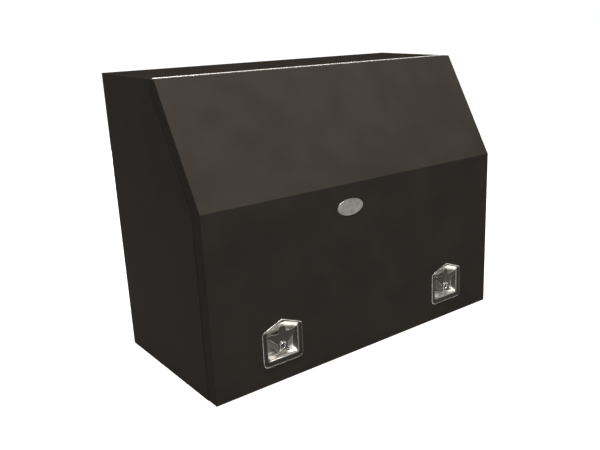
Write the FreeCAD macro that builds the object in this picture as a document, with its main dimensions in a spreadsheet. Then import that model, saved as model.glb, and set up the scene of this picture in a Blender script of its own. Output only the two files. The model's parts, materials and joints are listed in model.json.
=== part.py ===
import FreeCAD, Part
import math
import os
import Sketcher

doc = FreeCAD.newDocument("gullwing_tool_box")
size = doc.addObject("Spreadsheet::Sheet", "size")

# Driving dimensions in millimetres. The box faces -Y, its base is at Z 0 and X 0 is its middle.
driving = {
    # the whole box
    "width": 1220,
    "depth": 600,
    "height": 960,
    "knee_height": 600,
    "slope_run": 210,
    "hinge_setback": 29.4,
    # sheet metal
    "casing_sheet": 1.6,
    "lid_sheet": 2,
    "lid_depth": 48,
    "lid_gap": 3,
    "lid_ground_gap": 1.5,
    "edge_radius": 2.5,
    "back_flange": 20,
    # door frame and its seal
    "jamb_width": 30,
    "lip_inset": 17,
    "sill_height": 30,
    "seal_width": 12,
    "seal_gap": 0.4,
    # piano hinge
    "hinge_length": 1200,
    "hinge_rise": 1.5,
    "knuckle_radius": 3.2,
    "knuckle_bore": 2,
    "hinge_pin_radius": 1.95,
    "leaf_sheet": 1.2,
    "leaf_height": 26,
    "knuckle_pitch": 60,
    "knuckle_play": 0.4,
    "rivet_radius": 2,
    "rivet_head_radius": 3.6,
    "rivet_head": 1,
    "rivet_pitch": 100,
    "rivet_drop": 16,
    "hole_play": 0.05,
    # lid stiffeners and badge
    "rib_spacing": 420,
    "rib_width": 60,
    "rib_rise": 18,
    "rib_flange": 18,
    "rib_bottom": 240,
    "rib_top_drop": 20,
    "badge_length": 106,
    "badge_width": 56,
    "badge_thickness": 1.5,
    "badge_left": 73,
    "badge_height": 522,
    # gas struts
    "strut_side_gap": 48,
    "strut_foot_back": 83,
    "strut_foot_drop": 316.8,
    "strut_head_drop": 78.5,
    "strut_head_inset": 36,
    "strut_tube_radius": 9,
    "strut_tube_wall": 1.5,
    "strut_tube_length": 190,
    "strut_rod_radius": 4,
    "strut_eye_radius": 8,
    "strut_eye_width": 10,
    "strut_eye_play": 0.3,
    "strut_cap": 4,
    "strut_neck": 8,
    "piston_back": 24,
    "piston_width": 8,
    "strut_stud_radius": 4,
    "strut_bracket": 44,
    "strut_ear_foot": 25,
    "bracket_sheet": 3,
    # latches
    "latch_left_inset": 249,
    "latch_right_inset": 225,
    "latch_bottom": 64,
    "latch_width": 152,
    "latch_shoulder": 121,
    "latch_peak": 31,
    "latch_sheet": 1.6,
    "gasket_sheet": 1,
    "latch_rim": 19,
    "dish_depth": 28,
    "dish_draft": 3,
    "dish_ledge": 12,
    "dish_scoop": 20,
    "dish_gable": 8,
    "latch_corner": 18,
    "barrel_height": 56,
    "barrel_radius": 11,
    "barrel_recess": 3,
    "plug_radius": 6.5,
    "thread_radius": 9,
    "keyway_width": 1.6,
    "keyway_height": 8,
    "screw_radius": 2,
    "screw_length": 9,
    "screw_head_radius": 6,
    "screw_head": 3,
    "nut_radius": 13,
    "nut_thickness": 4,
    "handle_recess": 5,
    "handle_sheet": 3,
    "handle_tail": 50,
    "handle_leg": 19,
    "handle_slot": 12.5,
    "handle_reach": 49,
    "handle_tongue": 13,
    "handle_tip": 20.5,
    "handle_pin_radius": 2,
    "handle_pin_drop": 18,
    "handle_eye_radius": 4.2,
    "lug_sheet": 3,
    "lug_half": 5,
    "cam_length": 60,
    "cam_width": 18,
    "cam_sheet": 3,
    "cam_square": 7,
    "cam_spacing": 1.5,
    "keeper_width": 40,
    "keeper_height": 46,
    "keeper_sheet": 2.5,
    "keeper_gap": 1.5,
    "keeper_foot": 18,
}
for row, (alias, value) in enumerate(driving.items(), start=1):
    size.set(f"A{row}", alias)
    size.set(f"B{row}", str(value))
    size.setAlias(f"B{row}", alias)
doc.recompute()


def read(text):
    """The number that an expression of the sheet's sizes gives."""
    found = size.evalExpression(text)
    return float(getattr(found, "Value", found))


# Places that several pieces share, as expressions of the sheet's cells
proud = "(size.gasket_sheet + size.latch_sheet)"
front = f"({proud} - size.depth / 2)"
back = "(size.depth / 2)"
side = "(size.width / 2)"
sheet = "size.casing_sheet"
top = "(size.height - size.hinge_rise)"
rise = f"({top} - size.knee_height)"
lean_cos = f"({rise} / sqrt({rise} ^ 2 + size.slope_run ^ 2))"
lean_sin = f"(size.slope_run / sqrt({rise} ^ 2 + size.slope_run ^ 2))"
lean_tan = f"(size.slope_run / {rise})"
half_tan = f"((1 - {lean_cos}) / {lean_sin})"
hinge_y = f"({front} + size.slope_run + size.hinge_setback)"
hinge_z = "(size.height - size.knuckle_radius)"
lid_back = f"({hinge_y} - size.knuckle_radius)"
header_y = f"({hinge_y} + size.knuckle_radius)"
jamb_inset = "(size.lid_depth + size.lid_gap)"
jamb_back = f"({jamb_inset} + {sheet})"
header_z = (f"(size.knee_height + ({header_y} - {front} - {jamb_back} / {lean_cos}) / {lean_tan})")
header_run = f"({lean_sin} * ({header_y} - {front}) + {lean_cos} * ({header_z} - size.knee_height))"
inner_side = f"({side} - {sheet})"
lip_x = f"({side} - size.jamb_width)"
lip_end = f"({lip_x} + {sheet})"


def slope_y(height, inset):
    """Y of the line that lies inset behind the slope's outer face, at a height."""
    return f"({front} + ({height} - size.knee_height) * {lean_tan} + ({inset}) / {lean_cos})"


def slope_z(y, inset):
    return f"(size.knee_height + ({y} - {front} - ({inset}) / {lean_cos}) / {lean_tan})"


def slope_point(inset, run):
    """A point inset behind the slope's face and run up along it from the knee."""
    y = f"({front} + ({inset}) * {lean_cos} + ({run}) * {lean_sin})"
    z = f"(size.knee_height - ({inset}) * {lean_sin} + ({run}) * {lean_cos})"
    return y, z


def knee_point(inset):
    return f"({front} + ({inset}))", f"(size.knee_height - ({inset}) * {half_tan})"


def band(near, far, low, run):
    """Outline in the YZ plane that follows the door from a height up to a run along the slope."""
    return [(f"({front} + ({near}))", low), (f"({front} + ({far}))", low), knee_point(far),
            slope_point(far, run), slope_point(near, run), knee_point(near)]


pieces = []


def keep(thing, name):
    thing.Label = name
    pieces.append(thing)
    return thing


def new_body(name):
    return keep(doc.addObject("PartDesign::Body", name), name)


def add_sketch(body, plane, start, outlines, circles=()):
    """A sketch on an origin plane, moved along its normal, with every corner bound to the sheet."""
    sketch = body.newObject("Sketcher::SketchObject", f"{body.Name}_outline")
    origin = next(item for item in body.Origin.OriginFeatures if item.Role == plane)
    sketch.AttachmentSupport = [(origin, "")]
    sketch.MapMode = "FlatFace"
    sketch.setExpression("AttachmentOffset.Base.z", start)
    for outline in outlines:
        spots = [FreeCAD.Vector(read(u), read(v), 0) for u, v in outline]
        first = sketch.GeometryCount
        count = len(spots)
        for index in range(count):
            sketch.addGeometry(Part.LineSegment(spots[index], spots[(index + 1) % count]), False)
        for index in range(count):
            following = first + (index + 1) % count
            sketch.addConstraint(Sketcher.Constraint("Coincident", first + index, 2, following, 1))
        for index, (u, v) in enumerate(outline):
            place_point(sketch, first + index, 1, u, v)
    for u, v, radius in circles:
        centre = FreeCAD.Vector(read(u), read(v), 0)
        index = sketch.addGeometry(Part.Circle(centre, FreeCAD.Vector(0, 0, 1), read(radius)), False)
        place_point(sketch, index, 3, u, v)
        rule = sketch.addConstraint(Sketcher.Constraint("Radius", index, read(radius)))
        sketch.setExpression(f"Constraints[{rule}]", radius)
    return sketch


def place_point(sketch, index, which, u, v):
    for kind, text in (("DistanceX", u), ("DistanceY", v)):
        rule = sketch.addConstraint(Sketcher.Constraint(kind, -1, 1, index, which, read(text)))
        sketch.setExpression(f"Constraints[{rule}]", text)


def pad(body, plane, start, length, outlines, circles=(), cut=False):
    """A prism from start along the plane's normal, added to the body or cut out of it."""
    sketch = add_sketch(body, plane, start, outlines, circles)
    kind = "Pocket" if cut else "Pad"
    feature = body.newObject(f"PartDesign::{kind}", f"{body.Name}_{kind.lower()}")
    feature.Profile = sketch
    feature.setExpression("Length", length)
    feature.Reversed = cut
    return feature


def cut_row(body, plane, start, length, outlines, circles, count, pitch):
    """A pocket repeated along X."""
    feature = pad(body, plane, start, length, outlines, circles, cut=True)
    pattern = body.newObject("PartDesign::LinearPattern", f"{body.Name}_row")
    pattern.Originals = [feature]
    pattern.Direction = (feature.Profile[0], ["H_Axis"])
    pattern.setExpression("Occurrences", count)
    pattern.setExpression("Length", f"({pitch}) * (({count}) - 1)")
    body.Tip = pattern
    return pattern


def round_edges(body, radius, lines):
    """Fillet the straight edges that lie on one of the lines, each a direction and a point."""
    doc.recompute()
    base = body.Tip
    names = []
    for number, edge in enumerate(base.Shape.Edges, start=1):
        if edge.Curve.TypeId != "Part::GeomLine":
            continue
        for direction, spot in lines:
            along = abs(edge.Curve.Direction.dot(direction)) > 0.999
            if along and spot.distanceToLine(edge.Curve.Location, edge.Curve.Direction) < 0.01:
                names.append(f"Edge{number}")
                break
    feature = body.newObject("PartDesign::Fillet", f"{body.Name}_round")
    feature.Base = (base, names)
    feature.setExpression("Radius", radius)
    return feature


turns = {
    "X": FreeCAD.Rotation(FreeCAD.Vector(0, 0, 1), FreeCAD.Vector(1, 0, 0)),
    "Y": FreeCAD.Rotation(FreeCAD.Vector(0, 0, 1), FreeCAD.Vector(0, 1, 0)),
    "Z": FreeCAD.Rotation(),
}


def place(thing, x, y, z):
    for axis, text in zip("xyz", (x, y, z)):
        thing.setExpression(f"Placement.Base.{axis}", text)


def cylinder(name, radius, length, axis, x, y, z):
    thing = doc.addObject("Part::Cylinder", name)
    thing.setExpression("Radius", radius)
    thing.setExpression("Height", length)
    thing.Placement.Rotation = turns[axis]
    place(thing, x, y, z)
    return thing


def cuboid(name, along_x, along_y, along_z, x, y, z):
    thing = doc.addObject("Part::Box", name)
    thing.setExpression("Length", along_x)
    thing.setExpression("Width", along_y)
    thing.setExpression("Height", along_z)
    place(thing, x, y, z)
    return thing


def prism(name, radius, length, axis, x, y, z):
    """A hexagonal bar, its radius measured to the corners."""
    thing = doc.addObject("Part::Prism", name)
    thing.Polygon = 6
    thing.setExpression("Circumradius", radius)
    thing.setExpression("Height", length)
    thing.Placement.Rotation = turns[axis]
    place(thing, x, y, z)
    return thing


def fuse(name, things):
    thing = doc.addObject("Part::MultiFuse", name)
    thing.Shapes = things
    thing.Refine = True
    return thing


def cut(name, base, tool):
    thing = doc.addObject("Part::Cut", name)
    thing.Base = base
    thing.Tool = tool
    return thing


def group(name, things):
    thing = doc.addObject("Part::Compound", name)
    thing.Links = things
    return thing


# Casing: floor with its folded sill, back, sides, top with its folded header
def floor_panel():
    body = new_body("floor_panel")
    upturn = f"({front} + {jamb_inset})"
    lip = f"({front} + size.lip_inset)"
    sill = "size.sill_height"
    fold = f"({upturn} + {sheet})"
    outline = [(upturn, "0"), (back, "0"), (back, sheet), (fold, sheet), (fold, sill), (upturn, sill)]
    pad(body, "YZ_Plane", f"-{inner_side}", f"2 * {inner_side}", [outline])
    under = f"({sill} - {sheet})"
    outline = [(lip, under), (fold, under), (fold, sill), (lip, sill)]
    pad(body, "YZ_Plane", f"-{lip_end}", f"2 * {lip_end}", [outline])


def top_panel():
    body = new_body("top_panel")
    fold = f"({header_y} + {sheet})"
    under = f"({header_z} - {sheet} * ({lean_cos} + (1 + {lean_sin}) * {lean_tan}))"
    low_run = f"({header_run} - {sheet})"
    outline = [(header_y, top), (back, top), (back, f"{top} - {sheet}"), (fold, f"{top} - {sheet}"),
               (fold, under), (header_y, f"{header_z} - {sheet} / {lean_cos}")]
    pad(body, "YZ_Plane", f"-{inner_side}", f"2 * {inner_side}", [outline])
    lip = [(header_y, header_z), (fold, header_z), (fold, under), slope_point("size.lip_inset", low_run),
           slope_point("size.lip_inset", header_run)]
    pad(body, "YZ_Plane", f"-{lip_end}", f"2 * {lip_end}", [lip])
    rivet_holes(body, f"-({header_y})", sheet)


def back_panel():
    body = new_body("back_panel")
    flange = f"({back} - size.back_flange)"
    web = f"({back} - {sheet})"
    inside = f"({inner_side} - {sheet})"
    outline = [(f"-{inner_side}", back), (f"-{inner_side}", flange), (f"-{inside}", flange),
               (f"-{inside}", web), (inside, web), (inside, flange), (inner_side, flange),
               (inner_side, back)]
    pad(body, "XY_Plane", sheet, f"{top} - 2 * {sheet}", [outline])


def side_panel(name, start):
    body = new_body(name)
    edge = f"({lid_back} + size.lid_gap)"
    outline = [(back, "0"), (back, top), (edge, top), (edge, slope_z(edge, jamb_inset)),
               knee_point(jamb_inset), (f"({front} + {jamb_inset})", "0")]
    pad(body, "YZ_Plane", start, sheet, [outline])


def door_jamb(name, sign):
    """The frame beside the opening: a face behind the lid's edge and a lip that carries the seal."""
    body = new_body(name)
    low = "size.sill_height"
    high = f"({header_run} - {sheet})"
    outer = f"-{inner_side}" if sign < 0 else lip_x
    inner = f"-{lip_x}" if sign < 0 else f"({lip_x})"
    wide = f"{inner_side} - {lip_x}"
    pad(body, "YZ_Plane", outer, wide, [band(jamb_inset, jamb_back, low, high)])
    lip_start = f"{inner} - {sheet}" if sign < 0 else inner
    pad(body, "YZ_Plane", lip_start, sheet, [band("size.lip_inset", jamb_back, low, high)])


def door_seal():
    body = new_body("door_seal")
    near = "(size.lid_sheet + size.seal_gap)"
    far = "size.lip_inset"
    middle = f"({lip_x} + {sheet} / 2)"
    outside = f"({middle} + size.seal_width / 2)"
    below = f"(size.sill_height - {sheet} / 2 - size.seal_width / 2)"
    above = f"({header_run} - {sheet} / 2 + size.seal_width / 2)"
    for start in (f"-{outside}", f"{outside} - size.seal_width"):
        pad(body, "YZ_Plane", start, "size.seal_width", [band(near, far, below, above)])
    corners = ((near, "0"), (far, "0"), (far, "size.seal_width"), (near, "size.seal_width"))
    sill = [(f"{front} + {edge}", f"{below} + {step}") for edge, step in corners]
    start = f"{above} - size.seal_width"
    head = [slope_point(edge, f"{start} + {step}") for edge, step in corners]
    pad(body, "YZ_Plane", f"-{outside}", f"2 * {outside}", [sill])
    pad(body, "YZ_Plane", f"-{outside}", f"2 * {outside}", [head])


# Lid: one folded tray with its stiffeners and badge
def lid_panel():
    body = new_body("lid_panel")
    thick = "size.lid_sheet"
    bottom = "size.lid_ground_gap"
    outline = [(front, bottom), (f"{front} + size.lid_depth", bottom), knee_point("size.lid_depth"),
               (lid_back, slope_z(lid_back, "size.lid_depth")), (lid_back, top),
               (f"{front} + size.slope_run", top), (front, "size.knee_height")]
    pad(body, "YZ_Plane", f"-{side}", f"2 * {side}", [outline])
    inside_x = f"({side} - {thick})"
    ceiling = f"({top} - {thick})"
    flange_front = f"({lid_back} - {thick})"
    flange_foot = f"({hinge_z} - size.leaf_height)"
    past = "(size.lid_depth + 10)"
    hollow = [(f"{front} + {thick}", f"{bottom} + {thick}"), (f"{front} + {past}", f"{bottom} + {thick}"),
              knee_point(past), (f"{lid_back} + 5", slope_z(f"{lid_back} + 5", past)),
              (f"{lid_back} + 5", flange_foot), (flange_front, flange_foot), (flange_front, ceiling),
              (slope_y(ceiling, thick), ceiling), knee_point(thick)]
    pad(body, "YZ_Plane", f"-{inside_x}", f"2 * {inside_x}", [hollow], cut=True)
    for centre in latch_places.values():
        pad(body, "XZ_Plane", f"-({front}) - {thick} - 1", f"{thick} + 2",
            [house(centre, "(size.latch_rim - size.latch_sheet - 1)", "0", gable)], cut=True)
    rivet_holes(body, f"-({lid_back})", thick)
    across = FreeCAD.Vector(1, 0, 0)
    inward = FreeCAD.Vector(0, 1, 0)
    upward = FreeCAD.Vector(0, 0, 1)
    knee = FreeCAD.Vector(0, read(front), read("size.knee_height"))
    crest = FreeCAD.Vector(0, read(f"{front} + size.slope_run"), read(top))
    foot = FreeCAD.Vector(0, read(front), read(bottom))
    lines = [(across, knee), (across, crest), (across, foot)]
    for sign in (-1, 1):
        end = across * (sign * read(side))
        lines += [(upward, foot + end), (crest.sub(knee).normalize(), knee + end),
                  (inward, crest + end), (inward, foot + end)]
    round_edges(body, "size.edge_radius", lines)


def rivet_holes(body, face, thick):
    count = rivet_count
    start = f"-(({count}) - 1) * size.rivet_pitch / 2"
    hole = (start, f"{hinge_z} - size.rivet_drop", "size.rivet_radius + size.hole_play")
    cut_row(body, "XZ_Plane", f"{face} - {thick} - 1", f"2 * {thick} + 2", [], [hole], count,
            "size.rivet_pitch")


rivet_count = "floor(size.hinge_length / size.rivet_pitch - 0.5)"


def lid_rib(name, sign):
    body = new_body(name)
    centre = f"({sign} * size.rib_spacing / 2)"
    near = f"({front} + size.lid_sheet)"
    far = f"({near} + size.rib_rise)"
    thick = "size.casing_sheet"
    half = "(size.rib_width / 2)"
    foot = f"({half} + size.rib_flange)"
    right = [(half, f"{far} - {thick}"), (half, near), (foot, near), (foot, f"{near} + {thick}"),
             (f"{half} + {thick}", f"{near} + {thick}"), (f"{half} + {thick}", far)]
    outline = [(f"{centre} + {x}", y) for x, y in right]
    outline += [(f"{centre} - ({x})", y) for x, y in reversed(right)]
    low = "size.rib_bottom"
    pad(body, "XY_Plane", low, f"size.knee_height - size.rib_top_drop - {low}", [outline])


def lid_badge():
    oval = doc.addObject("Part::Ellipse", "badge_oval")
    oval.setExpression("MajorRadius", "size.badge_length / 2")
    oval.setExpression("MinorRadius", "size.badge_width / 2")
    oval.Placement.Rotation = FreeCAD.Rotation(FreeCAD.Vector(1, 0, 0), 90)
    place(oval, "-size.badge_left", front, "size.badge_height")
    plate = keep(doc.addObject("Part::Extrusion", "lid_badge"), "lid_badge")
    plate.Base = oval
    plate.DirMode = "Custom"
    plate.Dir = FreeCAD.Vector(0, -1, 0)
    plate.Solid = True
    plate.setExpression("LengthFwd", "size.badge_thickness")


# Piano hinge: two leaves with interleaved knuckles on one pin
def hinge_leaf(name, direction, first):
    """One leaf: direction is -1 for the lid's side of the pin and 1 for the casing's."""
    body = new_body(name)
    half = "(size.hinge_length / 2)"
    outer = f"({hinge_y} + {direction} * size.knuckle_radius)"
    inner = f"({hinge_y} + {direction} * (size.knuckle_radius - size.leaf_sheet))"
    low = f"({hinge_z} - size.leaf_height)"
    leaf = [(outer, low), (inner, low), (inner, hinge_z), (outer, hinge_z)]
    pad(body, "YZ_Plane", f"-{half}", f"2 * {half}", [leaf])
    pad(body, "YZ_Plane", f"-{half}", f"2 * {half}", [], [(hinge_y, hinge_z, "size.knuckle_radius")])
    bore = (hinge_y, hinge_z, "size.knuckle_bore")
    pad(body, "YZ_Plane", f"-{half} - 1", f"2 * {half} + 2", [], [bore], cut=True)
    wide = "(size.knuckle_pitch / 2 + size.knuckle_play)"
    start = f"(-{half} + {first} * size.knuckle_pitch / 2 - size.knuckle_play / 2)"
    foot = f"({hinge_z} - size.knuckle_radius - 1)"
    head = f"({hinge_z} + size.knuckle_radius + 1)"
    notch = [(start, foot), (f"{start} + {wide}", foot), (f"{start} + {wide}", head), (start, head)]
    reach = "(2 * size.knuckle_radius)"
    notches = "floor(size.hinge_length / size.knuckle_pitch)"
    start = f"-({hinge_y}) - {reach}"
    cut_row(body, "XZ_Plane", start, f"2 * {reach}", [notch], [], notches, "size.knuckle_pitch")
    hole = (f"-({rivet_count} - 1) * size.rivet_pitch / 2", f"{hinge_z} - size.rivet_drop",
            "size.rivet_radius + size.hole_play")
    start = f"-({outer}) - 2 * size.leaf_sheet"
    cut_row(body, "XZ_Plane", start, "4 * size.leaf_sheet", [], [hole], rivet_count, "size.rivet_pitch")


def hinge_rivets(name, direction, thick):
    """Shanks through a leaf and the fold behind it, with a flat head on each side."""
    count = int(read(rivet_count))
    rivets = []
    for index in range(count):
        x = f"({index} - ({rivet_count} - 1) / 2) * size.rivet_pitch"
        z = f"{hinge_z} - size.rivet_drop"
        inner = f"({hinge_y} + {direction} * (size.knuckle_radius - size.leaf_sheet))"
        outer = f"({hinge_y} + {direction} * (size.knuckle_radius + {thick}))"
        low = inner if direction > 0 else outer
        grip = f"(size.leaf_sheet + {thick})"
        shank = cylinder(f"{name}_shank", "size.rivet_radius", f"{grip} + size.rivet_head", "Y",
                         x, f"{low} - size.rivet_head / 2", z)
        near = cylinder(f"{name}_near", "size.rivet_head_radius", "size.rivet_head", "Y",
                        x, f"{low} - size.rivet_head", z)
        far = cylinder(f"{name}_far", "size.rivet_head_radius", "size.rivet_head", "Y",
                       x, f"{low} + {grip}", z)
        rivets.append(fuse(f"{name}_rivet", [shank, near, far]))
    keep(group(name, rivets), name)


def hinge_pin():
    keep(cylinder("hinge_pin", "size.hinge_pin_radius", "size.hinge_length", "X",
                  "-size.hinge_length / 2", hinge_y, hinge_z), "hinge_pin")


# Gas struts between the casing's sides and the lid
foot_y = f"({hinge_y} + size.strut_foot_back)"
foot_z = f"({hinge_z} - size.strut_foot_drop)"
head_z = f"({top} - size.strut_head_drop)"
head_y = slope_y(head_z, "size.strut_head_inset")


def gas_strut(hand, sign):
    """Tube and rod lie along local Z from the foot pivot, then turn to point at the head pivot."""
    middle = f"({sign} * ({side} - size.strut_side_gap))"
    length = f"sqrt(({head_y} - {foot_y}) ^ 2 + ({head_z} - {foot_z}) ^ 2)"
    tilt = math.degrees(math.atan2(read(head_y) - read(foot_y), read(head_z) - read(foot_z)))
    turn = FreeCAD.Rotation(FreeCAD.Vector(1, 0, 0), -tilt)
    eye_half = "size.strut_eye_width / 2"

    def along(name, radius, start, span):
        return cylinder(name, radius, span, "Z", "0", "0", start)

    def eye(name, centre):
        hole_radius = "size.strut_stud_radius + size.hole_play"
        ring = cylinder(f"{name}_ring", "size.strut_eye_radius", "size.strut_eye_width", "X",
                        f"-{eye_half}", "0", centre)
        hole = cylinder(f"{name}_hole", hole_radius, "size.strut_eye_width + 2", "X",
                        f"-{eye_half} - 1", "0", centre)
        return ring, hole

    # the tube: an eye, a short neck and a barrel closed at the foot, with a small mouth for the rod
    neck = "(size.strut_eye_radius - 1)"
    tube_start = "(size.strut_eye_radius + size.strut_cap)"
    inside = f"({tube_start} + size.strut_cap)"
    bore_radius = "(size.strut_tube_radius - size.strut_tube_wall)"
    ring, hole = eye("tube_eye", "0")
    shank = along("tube_neck", "size.strut_rod_radius", neck, "size.strut_neck")
    barrel = along("tube_barrel", "size.strut_tube_radius", tube_start, "size.strut_tube_length")
    bore = along("tube_bore", bore_radius, inside, "size.strut_tube_length - 2.5 * size.strut_cap")
    mouth = along("tube_mouth", "size.strut_rod_radius + size.hole_play", inside, "size.strut_tube_length")
    solid = fuse("tube_solid", [ring, shank, barrel])
    space = fuse("tube_space", [hole, bore, mouth])
    tube = keep(cut(f"strut_tube_{hand}", solid, space), f"strut_tube_{hand}")

    # the rod: a piston that runs in the barrel, a shaft and an eye
    piston_start = f"({tube_start} + size.piston_back)"
    piston = along("rod_piston", f"{bore_radius} - 2 * size.hole_play", piston_start, "size.piston_width")
    shaft = along("rod_shaft", "size.strut_rod_radius", piston_start, f"{length} - {neck} - {piston_start}")
    rod_ring, rod_hole = eye("rod_eye", length)
    solid = fuse("rod_solid", [piston, shaft, rod_ring])
    rod = keep(cut(f"strut_rod_{hand}", solid, rod_hole), f"strut_rod_{hand}")
    for thing in (tube, rod):
        thing.Placement.Rotation = turn
        place(thing, middle, foot_y, foot_z)

    # the bracket: a plate on the casing's side with the stud for the tube's eye
    wall = f"({inner_side})"
    plate_x = f"({wall} - size.bracket_sheet)" if sign > 0 else f"-{wall}"
    plate = cuboid("foot_plate", "size.bracket_sheet", "size.strut_bracket", "size.strut_bracket", plate_x,
                   f"{foot_y} - size.strut_bracket / 2", f"{foot_z} - size.strut_bracket / 2")
    reach = f"({wall} - ({side} - size.strut_side_gap) + {eye_half} + 2)"
    stud_x = f"({wall} - {reach})" if sign > 0 else f"-{wall}"
    stud = cylinder("foot_stud", "size.strut_stud_radius", reach, "X", stud_x, foot_y, foot_z)
    keep(fuse(f"strut_bracket_casing_{hand}", [plate, stud]), f"strut_bracket_casing_{hand}")


def lid_strut_bracket(hand, sign):
    """A flat ear on the lid's slope. The rod's eye runs beside it with a small gap."""
    name = f"strut_bracket_lid_{hand}"
    body = new_body(name)
    eye_face = f"({side} - size.strut_side_gap - size.strut_eye_width / 2 - size.strut_eye_play)"
    start = f"({eye_face} - size.bracket_sheet)" if sign > 0 else f"-{eye_face}"
    run = f"({lean_sin} * ({head_y} - {front}) + {lean_cos} * ({head_z} - size.knee_height))"
    half = "(size.strut_bracket / 2)"
    deep = "(size.strut_head_inset + size.strut_eye_radius)"
    ear = [slope_point("size.lid_sheet", f"{run} - {half}"), slope_point(deep, f"{run} - {half} / 2"),
           slope_point(deep, f"{run} + {half} / 2"), slope_point("size.lid_sheet", f"{run} + {half}")]
    pad(body, "YZ_Plane", start, "size.bracket_sheet", [ear])
    outer = "size.lid_sheet"
    inner = "size.lid_sheet + size.bracket_sheet"
    foot = [slope_point(outer, f"{run} - {half}"), slope_point(inner, f"{run} - {half}"),
            slope_point(inner, f"{run} + {half}"), slope_point(outer, f"{run} + {half}")]
    foot_start = f"({eye_face} - size.strut_ear_foot)" if sign > 0 else f"-{eye_face}"
    pad(body, "YZ_Plane", foot_start, "size.strut_ear_foot", [foot])


# Latches: a pressed house-shaped dish, its gasket, a lift handle and a key lock with its cam
latch_places = {"left": f"(size.latch_left_inset - {side})", "right": f"({side} - size.latch_right_inset)"}
dish_floor = f"({front} - size.gasket_sheet - size.latch_sheet + size.dish_depth)"
barrel_z = "(size.latch_bottom + size.barrel_height)"
gable = "-size.dish_gable"   # the flange is narrower above the dish's mouth than beside it


def house(centre, inset, ledge="0", scoop="0", draft="0"):
    """The latch outline drawn in by an inset, with extra at its foot, its peak and its sides."""
    pitch = "sqrt((size.latch_width / 2) ^ 2 + size.latch_peak ^ 2)"
    half = f"(size.latch_width / 2 - ({inset}) - ({draft}))"
    low = f"(size.latch_bottom + ({inset}) + ({ledge}))"
    ridge = (f"(size.latch_bottom + size.latch_shoulder + size.latch_peak"
             f" - ({inset}) * {pitch} / (size.latch_width / 2) - ({scoop}))")
    eave = f"({ridge} - size.latch_peak * {half} / (size.latch_width / 2))"
    return [(f"{centre} - {half}", low), (f"{centre} + {half}", low), (f"{centre} + {half}", eave),
            (centre, ridge), (f"{centre} - {half}", eave)]


def loft(body, near, near_outline, far, far_outline, cut):
    """A tapered block between two outlines that face the front."""
    sketches = [add_sketch(body, "XZ_Plane", f"-({near})", [near_outline]),
                add_sketch(body, "XZ_Plane", f"-({far})", [far_outline])]
    kind = "SubtractiveLoft" if cut else "AdditiveLoft"
    feature = body.newObject(f"PartDesign::{kind}", f"{body.Name}_loft")
    feature.Profile = sketches[0]
    feature.Sections = [sketches[1]]
    feature.Ruled = True


def plate_corners(body, outline, face):
    corners = [FreeCAD.Vector(read(u), read(face), read(v)) for u, v in outline]
    inward = FreeCAD.Vector(0, 1, 0)
    round_edges(body, "size.latch_corner", [(inward, spot) for spot in corners[:2]])
    round_edges(body, "size.latch_corner * 0.7", [(inward, spot) for spot in corners[2:]])


def latch_dish(hand, centre):
    body = new_body(f"latch_dish_{hand}")
    thick = "size.latch_sheet"
    back_face = f"({front} - size.gasket_sheet)"
    pad(body, "XZ_Plane", f"-({back_face})", thick, [house(centre, "0")])
    plate_corners(body, house(centre, "0"), back_face)
    rim = "size.latch_rim"
    drafts = ("size.dish_ledge", "size.dish_scoop", "size.dish_draft")
    outer = f"{rim} - {thick}"
    near = f"{back_face} - {thick}"
    far = f"{dish_floor} + {thick}"
    loft(body, back_face, house(centre, outer, "0", gable), far, house(centre, outer, *drafts), False)
    loft(body, near, house(centre, rim, "0", gable), dish_floor, house(centre, rim, *drafts), True)
    lock_hole = (centre, barrel_z, "size.thread_radius + size.hole_play")
    pad(body, "XZ_Plane", f"-({dish_floor}) - {thick} - 1", f"{thick} + 2", [], [lock_hole], cut=True)

    # two lugs on the floor of the dish carry the handle's pin
    pin_z = f"({barrel_z} - size.handle_pin_drop)"
    pin_y = f"({front} - {proud} + size.handle_recess + size.handle_sheet / 2)"
    lug_near = "(size.handle_leg + 1)"
    lug_end = f"{dish_floor} + {thick} / 2"
    lug = [(f"{pin_y} - size.lug_half", f"{pin_z} - size.lug_half"),
           (f"{pin_y} - size.lug_half", f"{pin_z} + size.lug_half"),
           (lug_end, f"{pin_z} + size.lug_half"), (lug_end, f"{pin_z} - size.lug_half")]
    for start in (f"{centre} + {lug_near}", f"{centre} - {lug_near} - size.lug_sheet"):
        pad(body, "YZ_Plane", start, "size.lug_sheet", [lug])
    pin_hole = (pin_y, pin_z, "size.handle_pin_radius + size.hole_play")
    pad(body, "YZ_Plane", f"{centre} - size.handle_tail", "2 * size.handle_tail", [], [pin_hole], cut=True)
    keep(cylinder(f"handle_pin_{hand}", "size.handle_pin_radius", f"2 * ({lug_near} + size.lug_sheet)", "X",
                  f"{centre} - {lug_near} - size.lug_sheet", pin_y, pin_z), f"handle_pin_{hand}")
    latch_handle(hand, centre, pin_y, pin_z)


def latch_gasket(hand, centre):
    body = new_body(f"latch_gasket_{hand}")
    pad(body, "XZ_Plane", f"-({front})", "size.gasket_sheet", [house(centre, "1")])
    plate_corners(body, house(centre, "1"), front)
    pad(body, "XZ_Plane", f"-({front}) - 1", "size.gasket_sheet + 2",
        [house(centre, "size.latch_rim - size.latch_sheet - 1", "0", gable)], cut=True)


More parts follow.
